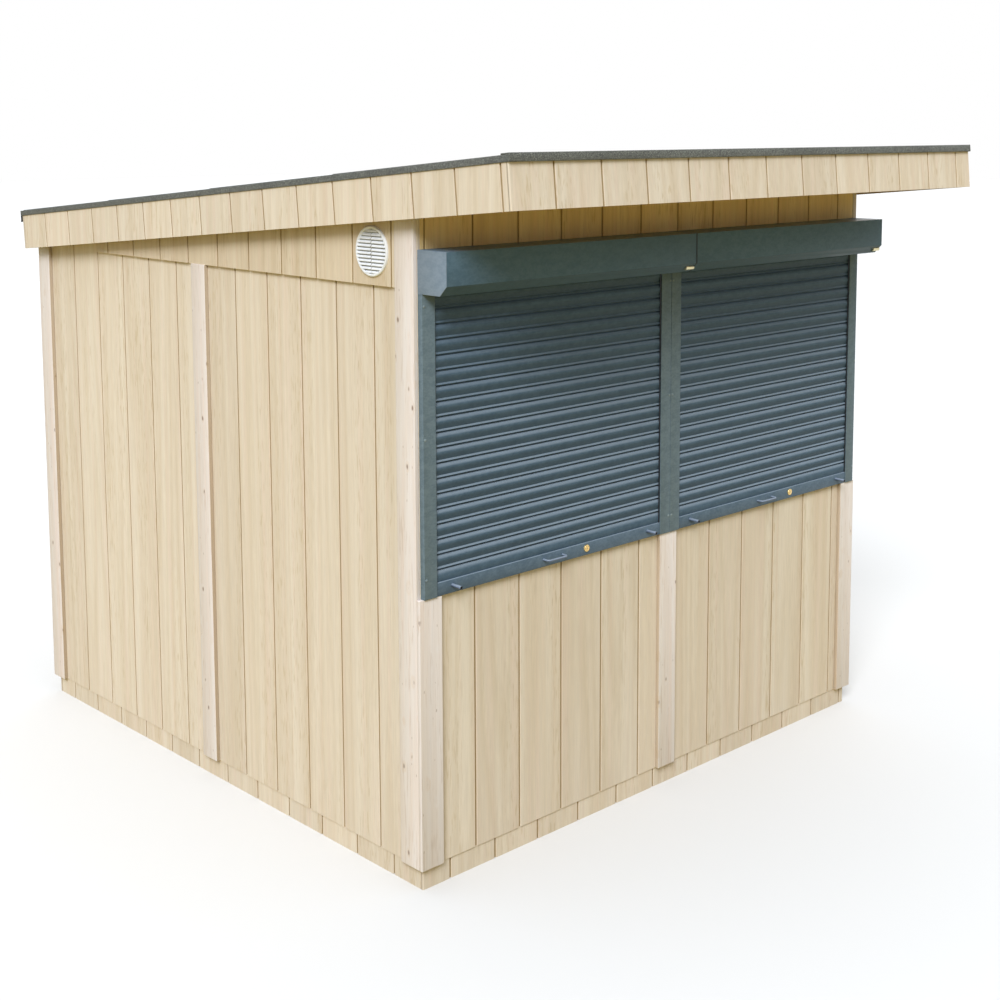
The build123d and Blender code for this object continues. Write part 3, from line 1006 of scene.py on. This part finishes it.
# %% Finishes on the solids that stay
GRAIN_OF = {
    "floor_bearers": "x",
    "floor_deck": "y",
    "corner_posts": "z",
    "mid_posts": "z",
    "front_beam": "x",
    "back_beam": "x",
    "hatch_rails": "x",
    "rafters": "y",
    "eaves_blocks": "x",
    "roof_deck": "y",
}
kept = {node: frame_pine[axis] for node, axis in GRAIN_OF.items()}
kept["front_stiles"] = board_wood["cladding"]
kept["back_drip_edge"] = metal["black_metal"]
kept["shutter_handles"] = metal["fitting_metal"]
for node, finish in kept.items():
    for slot in nodes[node].material_slots:
        slot.material = finish
print("solids that stay:", len(kept))

# %% [markdown]
# Long pieces with one section, such as a slat, a seal or a louvre, are bars: an outline is drawn once
# and pulled out between two ends. The round stretches of an outline are curves with two pulls each, as
# the handles of a Bezier curve are. A small tree then repeats a bar in even steps.


# %% A bar from an outline, and a tree that repeats it
def curve(start, pull, push, end, count):
    """Points along a curve that leaves its start towards pull and comes to its end from push."""
    return [tuple(point) for point in interpolate_bezier(start, pull, push, end, count)]


def bar(name, outline, *spans):
    """Closed bars with this outline in Y and Z, one for each span of low and high along X."""
    work = bmesh.new()
    count = len(outline)
    for span in spans:
        near_end, far_end = [[work.verts.new((x, y, z)) for y, z in outline] for x in span]
        for i in range(count):
            j = (i + 1) % count
            work.faces.new((near_end[i], near_end[j], far_end[j], far_end[i]))
        work.faces.new(near_end)
        work.faces.new(far_end)
    bmesh.ops.recalc_face_normals(work, faces=work.faces)
    return mesh_from(work, name)


ROW_SEED = 3
repeat_row, at = new_tree("repeat_row", {"Count": "count", "Step": "vector"})
line = at["Step"].node("GeometryNodeMeshLine", {}, {"Count": at["Count"], "Offset": at["Step"]})
sockets = {"ID": line.node("GeometryNodeInputIndex"), "Seed": ROW_SEED}
chance = line.node("FunctionNodeRandomValue", {}, sockets, out=1)
line = stored(line, "board", chance, "POINT")
close_tree(repeat_row, at, copied(at["Geometry"], line))
print("row tree:", len(repeat_row.nodes), "nodes")

# %% [markdown]
# Felt comes in rolls, laid across the roof from the eave upwards, each over the edge of the one below.
# One course is a thin slab, sunk into the roof at its upper edge and raised at its lower one, where it
# lies over the next. The tree lays it again and again down the slope.

# %% The courses of felt
COURSES = 4
LAP = 0.08
LAP_RISE = 0.0022
COURSE_NOSE = 0.003
COURSE_SUNK = 0.001
COURSE_HEAD = 0.0006
COURSE_INSET = 0.012
COURSE_START = 0.031
COURSE_END = 0.001
course = (roof_length - COURSE_START - COURSE_END + (COURSES - 1) * LAP) / COURSES
outline = [
    (0.0, -COURSE_SUNK),
    (course, LAP_RISE * 0.2),
    (course, LAP_RISE),
    (course - COURSE_NOSE, LAP_RISE * 1.15),
    (0.0, COURSE_HEAD),
]
course_half = roof_high.x - COURSE_INSET
start = bar("felt_course", outline, (-course_half, course_half))
start.transform(Matrix.Translation((0, COURSE_START, 0)))
step = (0.0, course - LAP, 0.0)
felt_courses = grow("felt_courses", repeat_row, start, Count=COURSES, Step=step, Finish=slate_felt)
felt_courses.data.transform(roof_place)
hand_over(felt_courses, "roof_felt")
print("felt courses:", COURSES, "each", round(course, 3), "m wide")

# %% [markdown]
# A shutter curtain is a stack of rolled slats. Each has a crowned face, a lip at its foot, and a dark
# gap under the lip, where it hooks into the slat below. The outline lists how high and how far out each
# point lies, and the same tree repeats the slat up the shutter. The lowest slat has a plain foot.

# %% The slats
SLATS = 18
FOOT_SLAT = 0.0414
SLAT_PLAY = 0.0002
SLAT_CREASE = 32.0
SLAT_OUTLINE = (
    (0.0000, 0.0004),
    (0.0024, 0.0004),
    (0.0026, 0.0094),
    (0.0031, 0.0101),
    (0.0040, 0.0102),
    (0.0055, 0.0092),
    (0.0085, 0.0064),
    *curve((0.0094, 0.0061), (0.0334, 0.0136), (0.0343, 0.0137), (0.0460, 0.0046), 13),
    (0.0465, 0.0036),
    (0.0467, 0.0004),
)
FOOT_OUTLINE = (
    *curve((0.0000, 0.0092), (0.0234, 0.0143), (0.0299, 0.0106), (0.0372, 0.0046), 11),
    (0.0377, 0.0036),
    (0.0379, 0.0004),
)


def slat_ring(points, back, foot, rise):
    """Outline of a slat that stands on this foot, closed along the curtain's back."""
    top = foot + rise - SLAT_PLAY
    return [(back - out, foot + up) for up, out in points] + [(back, top), (back, foot)]


for side in SIDES:
    node = f"{side}_curtain"
    low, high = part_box(node)
    ends = (low.x, high.x)
    pitch = (high.z - low.z - FOOT_SLAT) / SLATS
    start = bar("slat", slat_ring(SLAT_OUTLINE, high.y, low.z + FOOT_SLAT, pitch), ends)
    step = (0.0, 0.0, pitch)
    stack = grow("slat_stack", repeat_row, start, Count=SLATS, Step=step, Finish=metal["slat_metal_painted_shade"])
    foot_mesh = bar("foot_slat", slat_ring(FOOT_OUTLINE, high.y, low.z, FOOT_SLAT), ends)
    foot_slat = new_piece("foot_slat", foot_mesh, metal["slat_metal_painted_shade"])
    slats = smooth(merge(f"{side}_slats", stack, foot_slat), SLAT_CREASE)
    hand_over(slats, "shutter_metal", node)
    print(side, "curtain:", SLATS, "slats of", round(pitch, 4), "m")

# %% [markdown]
# The slats run in the rails between black lip seals, which show as a dark line beside the rail. A seal
# has one section along its whole length, so it is made as a bar lying down and is then stood up. A dark
# strip covers the joint between the two shutter boxes: its dark colour is painted shade of the gap.

# %% The seals and the joint between the boxes
RAIL_WIDTH = 0.053
RAIL_GAP = 0.001
SEAL_OUTLINE = (
    (0.0000, 0.0004),
    (0.0034, 0.0004),
    (0.0046, 0.0012),
    (0.0046, 0.0022),
    (0.0034, 0.0034),
    (0.0000, 0.0036),
)
JOINT_HALF = 0.004
JOINT_PROUD = 0.0005
BOX_CHAMFER = 0.032
rail_low, rail_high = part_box("guide_rails")
bar_low, bar_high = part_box("left_bottom_bar")
rail_edges = ((rail_low.x, 1), (-RAIL_GAP, -1), (RAIL_GAP, 1), (rail_high.x, -1))
seals = []
for edge, inward in rail_edges:
    outline = [
        (bar_low.y + depth, -edge - inward * (RAIL_WIDTH + reach)) for reach, depth in SEAL_OUTLINE
    ]
    seal = new_piece("rail_seal", bar("rail_seal", outline, (bar_high.z, rail_high.z)), soft_black)
    seal.data.transform(Matrix.Rotation(-math.pi / 2, 4, "Y"))
    seals.append(seal)
hand_over(merge("rail_seals", *seals), "shutter_metal")

box_low, box_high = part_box("left_shutter_box")
chamfer_back = box_low.y + BOX_CHAMFER
chamfer_top = box_low.z + BOX_CHAMFER
outline = [
    (box_low.y, box_high.z),
    (box_low.y - JOINT_PROUD, box_high.z),
    (box_low.y - JOINT_PROUD, chamfer_top),
    (chamfer_back, box_low.z - JOINT_PROUD),
    (chamfer_back, box_low.z),
    (box_low.y, chamfer_top),
]
# The strip is dark, as painted shade of the gap between the two boxes.
strip = bar("box_joint_shade_strip", outline, (-JOINT_HALF, JOINT_HALF))
hand_over(new_piece("box_joint_shade_strip", strip, metal["joint_metal_painted_shade"]), "shutter_metal")
print("seals:", len(seals), "and one joint strip", 2 * JOINT_HALF, "m wide")

# %% [markdown]
# The rails are held by blind rivets near their outer edges. A mesh of bare points says where they
# sit, and a tree puts a flattened ball on each, of which the rail leaves only the dome to see.

# %% The rivets
RIVET_RADIUS = 0.0048
RIVET_HEIGHT = 0.0026
RIVET_INSET = 0.0075
RIVET_HEIGHTS = (1.055, 1.513, 1.941)
rivet_heads, at = new_tree("rivet_heads", {"Radius": "float", "Height": "float"})
sockets = {"Segments": 14, "Rings": 8, "Radius": at["Radius"]}
ball = at["Radius"].node("GeometryNodeMeshUVSphere", {}, sockets)
flat = ball.node("ShaderNodeCombineXYZ", {}, {0: 1.0, 1: at["Height"] / at["Radius"], 2: 1.0})
dome = ball.node("GeometryNodeTransform", {}, {"Geometry": ball, "Scale": flat})
close_tree(rivet_heads, at, copied(dome, at["Geometry"]))

rivet_lines = [edge + inward * RIVET_INSET for edge, inward in rail_edges]
dots = bpy.data.meshes.new("rivet_places")
dots.from_pydata([(x, rail_low.y, z) for x in rivet_lines for z in RIVET_HEIGHTS], [], [])
rivet_size = {"Radius": RIVET_RADIUS, "Height": RIVET_HEIGHT}
rivets = grow("rail_rivets", rivet_heads, dots, **rivet_size, Finish=metal["rivet_metal"])
hand_over(smooth(rivets), "shutter_metal")
print("rivets:", len(dots.vertices))

# %% [markdown]
# Round pieces are turned, as on a lathe: every point of an outline of radius and reach becomes a ring
# about the axis that points out of the wall, or one point where its radius is 0, and faces join each
# ring to the next. Blender can spin an outline too, but then the doubled points at the seam have to be
# merged. The lock is a brass rose with a raised plug, and its keyhole is a black slit, as painted shade
# of the hole.


# %% Turned pieces and the locks
def turned(name, outline, finish, steps=40):
    """Turn an outline of (radius, reach) about the axis that points to the front."""
    work = bmesh.new()
    rings = {}
    for radius, reach in dict.fromkeys(outline):
        turns = [math.tau * i / steps for i in range(steps)] if radius else [0.0]
        spots = [(radius * math.cos(turn), -reach, radius * math.sin(turn)) for turn in turns]
        rings[radius, reach] = [work.verts.new(spot) for spot in spots]
    for near, far in zip(outline, outline[1:]):
        corners = ((rings[near], 0), (rings[near], 1), (rings[far], 1), (rings[far], 0))
        for i in range(steps):
            face = [ring[(i + step) % len(ring)] for ring, step in corners]
            work.faces.new(list(dict.fromkeys(face)))
    bmesh.ops.recalc_face_normals(work, faces=work.faces)
    return new_piece(name, mesh_from(work, name), finish)


LOCK_OUTLINE = (
    (0.0, 0.0),
    (0.0130, 0.0),
    *curve((0.0130, 0.0026), (0.0124, 0.0050), (0.0088, 0.0047), (0.0088, 0.0030), 5),
    (0.0070, 0.0030),
    (0.0067, 0.0046),
    (0.0060, 0.0050),
    (0.0, 0.0050),
)
# The keyhole is a black slit, painted shade of the hole.
KEYHOLE = [(-0.0052, -0.0032), (-0.0052, 0.0032), (-0.0046, 0.0036), (-0.0046, -0.0036)]
KEYHOLE_HALF = 0.0009
lock_low, lock_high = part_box("shutter_locks")
lock_radius = (lock_high.z - lock_low.z) / 2
lock_places = (lock_low.x + lock_radius, lock_high.x - lock_radius)
locks = []
for x in lock_places:
    rose = smooth(turned("lock_rose", LOCK_OUTLINE, metal["lock_brass"]))
    slit = bar("lock_keyhole_shade", KEYHOLE, (-KEYHOLE_HALF, KEYHOLE_HALF))
    for piece in (rose, new_piece("lock_keyhole_shade", slit, soft_black)):
        piece.data.transform(Matrix.Translation((x, lock_high.y, lock_low.z + lock_radius)))
        locks.append(piece)
hand_over(merge("shutter_lock_roses", *locks), "brass", "shutter_locks")
print("locks at", [round(x, 3) for x in lock_places])

# %% [markdown]
# The stops are open tubes. A black cup sits in their mouth, with a flange over the tube's end: it is
# painted shade, so that the hollow of the tube looks dark. The lathe turns flange and cup from one
# outline.

# %% The mouths of the stops
STOP_RADIUS = 0.006
STOP_FROM_MIDDLE = 0.121
SHADE_CUP_STEPS = 24
# The black cup in a stop's mouth is painted shade of the tube's hollow.
STOP_SHADE_CUP = (
    (0.0, -0.0040),
    (0.0030, -0.0040),
    *curve((0.0032, 0.0006), (0.0035, 0.0013), (0.0058, 0.0010), (0.0057, 0.0002), 4),
    (0.0057, -0.0002),
    (0.0039, -0.0002),
    (0.0039, -0.0050),
    (0.0, -0.0050),
)
stop_low, stop_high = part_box("shutter_stops")
stop_height = (stop_low.z + stop_high.z) / 2
stop_outer = stop_high.x - STOP_RADIUS
shade_cups = []
for x in (-stop_outer, -STOP_FROM_MIDDLE, STOP_FROM_MIDDLE, stop_outer):
    shade_cup = smooth(turned("stop_shade_cup", STOP_SHADE_CUP, soft_black, SHADE_CUP_STEPS))
    shade_cup.data.transform(Matrix.Translation((x, stop_low.y, stop_height)))
    shade_cups.append(shade_cup)
hand_over(merge("stop_shade_cups", *shade_cups), "shutter_metal")
print("stop bushes:", len(shade_cups))

# %% [markdown]
# The vent is a white ring with louvres that shed the rain. The louvres are parted down the middle, and
# a rib and the fly screen show behind them. A louvre is drawn one unit long, and a tree sets the length
# of each copy to the chord of the ring at its height, so they get shorter away from the middle.

# %% The vent
VENT_RING = (
    (0.0735, 0.0),
    (0.0830, 0.0),
    *curve((0.0830, 0.0034), (0.0828, 0.0084), (0.0735, 0.0081), (0.0735, 0.0048), 7),
    (0.0735, 0.0),
)
RING_STEPS = 72
VENT_INNER = 0.0745
LOUVRES = 12
LOUVRE_SPACING = 0.0122
LOUVRE_END = 0.5
LOUVRE_SPLIT = 0.021
LOUVRE_OUTLINE = [
    (-0.0020, 0.0040),
    (-0.0020, 0.0024),
    (-0.0060, -0.0036),
    (-0.0076, -0.0040),
    (-0.0076, -0.0014),
]
RIB_HALF = 0.0035
RIB_BACK = -0.0012
RIB_FRONT = -0.0030
SCREEN_OUTLINE = ((0.0, 0.0), (0.0740, 0.0), (0.0740, 0.0012), (0.0, 0.0012))
SCREEN_STEPS = 48
louvre_stack, at = new_tree("louvre_stack", {"Count": "count", "Spacing": "float", "Radius": "float"})
index = at["Count"].node("GeometryNodeInputIndex")
rise = (index - (at["Count"] - 1.0) * 0.5) * at["Spacing"]
chord = (at["Radius"] * at["Radius"] - rise * rise).math("SQRT") * 2.0
spots = rise.node("ShaderNodeCombineXYZ", {}, {0: 0.0, 1: 0.0, 2: rise})
points = rise.node("GeometryNodePoints", {}, {"Count": at["Count"], "Position": spots})
length = rise.node("ShaderNodeCombineXYZ", {}, {0: chord, 1: 1.0, 2: 1.0})
close_tree(louvre_stack, at, copied(at["Geometry"], points, Scale=length))

ring = smooth(turned("vent_ring", VENT_RING, white_plastic, RING_STEPS))
halves = ((-LOUVRE_END, -LOUVRE_SPLIT), (LOUVRE_SPLIT, LOUVRE_END))
start = bar("vent_louvre", LOUVRE_OUTLINE, *halves)
stack_size = {"Count": LOUVRES, "Spacing": LOUVRE_SPACING, "Radius": VENT_INNER}
louvres = grow("vent_louvres", louvre_stack, start, **stack_size, Finish=white_plastic)
outline = [
    (RIB_BACK, -VENT_INNER),
    (RIB_BACK, VENT_INNER),
    (RIB_FRONT, VENT_INNER),
    (RIB_FRONT, -VENT_INNER),
]
rib = new_piece("vent_rib", bar("vent_rib", outline, (-RIB_HALF, RIB_HALF)), fly_screen)
screen = turned("vent_screen", SCREEN_OUTLINE, fly_screen, SCREEN_STEPS)
vent = merge("louvred_vent", ring, louvres, rib, screen)
to_left = Matrix.Rotation(math.radians(FACING["left"]), 4, "Z")
vent.data.transform(Matrix.Translation(vent_middle) @ to_left)
hand_over(vent, "vent_plastic", "vent_grille")
print("vent:", LOUVRES, "louvres,", len(vent.data.polygons), "faces")

# %% [markdown]
# The hut stands on a plain white floor in soft light. To the camera, the floor and the sky are white.
# More light would also make them white, but it would wash out the pale boards, so the colour of the
# floor and sky depends on the kind of ray instead. The light that the floor throws back up is dimmer
# and warmer, as it is from open ground.

# %% The floor
FLOOR_REACH = 60.0
FLOOR_WHITE = (0.74, 0.74, 0.74, 1.0)
GROUND_TONE = (0.36, 0.28, 0.08, 1.0)
CORNERS = ((-1, -1), (1, -1), (1, 1), (-1, 1))
DIRECT_RAYS = ("Is Camera Ray", "Is Glossy Ray", "Is Transmission Ray")


def seen_directly(tree):
    """1 for rays from the camera, a mirror or glass, and 0 for light that bounces."""
    path = tree.node("ShaderNodeLightPath").socket.node
    camera_ray, glossy_ray, glass_ray = [Wire(tree.tree, path.outputs[name]) for name in DIRECT_RAYS]
    return camera_ray.math("MAXIMUM", glossy_ray).math("MAXIMUM", glass_ray)


def by_ray(block, outlet, lit, seen):
    """Let a material or world show one shader to direct rays, and light the scene with another."""
    tree = Wire(block.node_tree)
    both = tree.node("ShaderNodeMixShader", {}, {0: seen_directly(tree), 1: lit, 2: seen})
    tree.join(both, block.node_tree.nodes.new(outlet).inputs["Surface"])


floor_finish = bpy.data.materials.new("floor")
floor_finish.use_nodes = True
floor_finish.node_tree.nodes.clear()
tree = Wire(floor_finish.node_tree)
white = tree.node("ShaderNodeBsdfDiffuse", {}, {"Color": FLOOR_WHITE})
ground = tree.node("ShaderNodeBsdfDiffuse", {}, {"Color": GROUND_TONE})
by_ray(floor_finish, "ShaderNodeOutputMaterial", ground, white)
floor_mesh = bpy.data.meshes.new("floor")
corners = [(x * FLOOR_REACH, y * FLOOR_REACH, 0.0) for x, y in CORNERS]
floor_mesh.from_pydata(corners, [], [(0, 1, 2, 3)])
floor = new_piece("floor", floor_mesh, floor_finish)
print("floor reaches", FLOOR_REACH, "m to each side")

# %% [markdown]
# The sky is a pale dome, brighter overhead. A soft sun stands to the left of the front, so the left
# wall is the bright one and the shutters lie in the shade of the roof. A weak fill light reaches the
# two walls that turn away from the sun.

# %% Sky and lamps
SKY_TINT = (0.95, 0.98, 1.0, 1.0)
WHITE = (1.0, 1.0, 1.0, 1.0)
RIM_LIGHT = 0.3
TOP_LIGHT = 1.7
LAMPS = {
    "sun": {"source": (-0.63, -0.455, 0.63), "energy": 2.38, "width": 24, "tint": (0.965, 0.98, 1.01)},
    "fill": {"source": (0.85, 0.4, 0.25), "energy": 0.5, "width": 60, "tint": (1.0, 0.98, 0.95)},
}
scene = bpy.context.scene
scene.view_settings.view_transform = "Standard"
sky = bpy.data.worlds.new("sky")
sky.use_nodes = True
sky.node_tree.nodes.clear()
tree = Wire(sky.node_tree)
upward = split(tree, tree.node("ShaderNodeTexCoord", {}, {}, out="Generated"))[2]
overhead = upward.math("MAXIMUM", 0.0).math("POWER", 2.0)
rim = tree.node("ShaderNodeBackground", {}, {"Color": SKY_TINT, "Strength": RIM_LIGHT})
top = tree.node("ShaderNodeBackground", {}, {"Color": SKY_TINT, "Strength": TOP_LIGHT})
vault = tree.node("ShaderNodeMixShader", {}, {0: overhead, 1: rim, 2: top})
backdrop = tree.node("ShaderNodeBackground", {}, {"Color": WHITE, "Strength": 1.0})
by_ray(sky, "ShaderNodeOutputWorld", vault, backdrop)
scene.world = sky


def add_lamp(name, source, energy, width, tint):
    """Light from one direction. The width is the angle in degrees that the source fills in the sky."""
    light = bpy.data.lights.new(name, "SUN")
    light.energy = energy
    light.angle = math.radians(width)
    light.color = tint
    lamp = bpy.data.objects.new(name, light)
    lamp.rotation_euler = Vector(source).to_track_quat("Z", "Y").to_euler()
    scene.collection.objects.link(lamp)


for name, lamp in LAMPS.items():
    add_lamp(name, **lamp)
print("lamps:", *LAMPS)

# %% [markdown]
# The camera stands in front of the hut's left corner, at the height of the roof. A shift of the lens
# lowers the picture's frame, so that the camera needs only a slight tilt and upright lines stay nearly
# upright.

# %% The camera
SENSOR_WIDTH = 36.0
FOCAL_LENGTH = 54.93
LENS_SHIFT = (-0.0509, -0.2)
FAR_LIMIT = 300.0
CAMERA_PLACE = (-4.241, -4.964, 2.507)
CAMERA_DOWN = 6.52
CAMERA_TURN = -44.51
lens = bpy.data.cameras.new("camera")
lens.sensor_width = SENSOR_WIDTH
lens.lens = FOCAL_LENGTH
lens.shift_x, lens.shift_y = LENS_SHIFT
lens.clip_end = FAR_LIMIT
camera = bpy.data.objects.new("camera", lens)
camera.location = CAMERA_PLACE
camera.rotation_euler = (math.radians(90 - CAMERA_DOWN), 0.0, math.radians(CAMERA_TURN))
scene.collection.objects.link(camera)
scene.camera = camera
print("camera at", CAMERA_PLACE, "lens", FOCAL_LENGTH, "mm")
